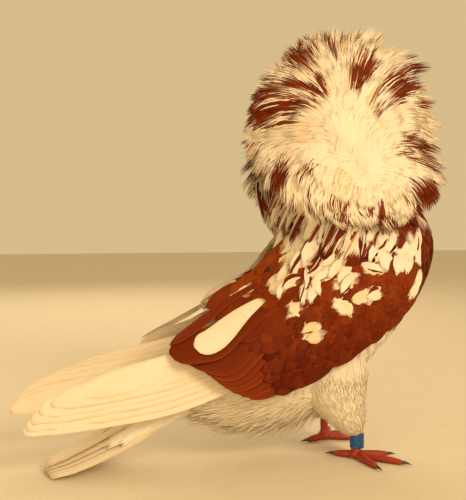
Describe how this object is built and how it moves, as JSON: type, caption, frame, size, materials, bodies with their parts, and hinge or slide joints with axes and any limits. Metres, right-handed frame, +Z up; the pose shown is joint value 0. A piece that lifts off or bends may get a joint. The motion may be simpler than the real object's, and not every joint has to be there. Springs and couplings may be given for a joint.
{
  "type": "jacobin pigeon",
  "caption": "Jacobin pigeon standing still, life size, with a full hood, mane and chain of curled feathers round the hidden head, red-brown wing shields and white flight feathers and tail.",
  "frame": {"origin": "middle of the underside of the bounding box, on the floor", "axes": "+X the way the bird faces, +Y its left, +Z up"},
  "size_m": [0.2888, 0.1136, 0.302],
  "materials": {
    "white_feather": "soft matt cream-white feathers",
    "red_feather": "soft matt red-brown feathers with a slight silk sheen",
    "bill": "pale flesh-coloured horn, satin",
    "cere": "powdery pale bare skin",
    "eye": "wet, glossy pearl iris with a dark pupil",
    "foot_skin": "scaly red bare skin, satin",
    "claw": "dark horn, satin",
    "ring": "blue anodised metal, bare of text"
  },
  "bodies": {
    "root": {"bill_lower": "bill", "bill_upper": "bill", "cere": "cere", "claw_left_hind": "claw", "claw_left_inner": "claw", "claw_left_middle": "claw", "claw_left_outer": "claw", "claw_right_hind": "claw", "claw_right_inner": "claw", "claw_right_middle": "claw", "claw_right_outer": "claw", "eye_left": "eye", "eye_right": "eye", "foot_left": "foot_skin", "foot_right": "foot_skin", "head": "white_feather", "leg_ring": "ring", "neck": "red_feather", "primaries_left": "white_feather", "primaries_right": "white_feather", "ruff_left": "white_feather", "ruff_right": "white_feather", "secondaries_left": "red_feather", "secondaries_right": "red_feather", "shank_left": "foot_skin", "shank_right": "foot_skin", "tail": "white_feather", "thigh_left": "white_feather", "thigh_right": "white_feather", "torso": "white_feather", "wing_left": "red_feather", "wing_right": "red_feather"}
  },
  "joints": []
}
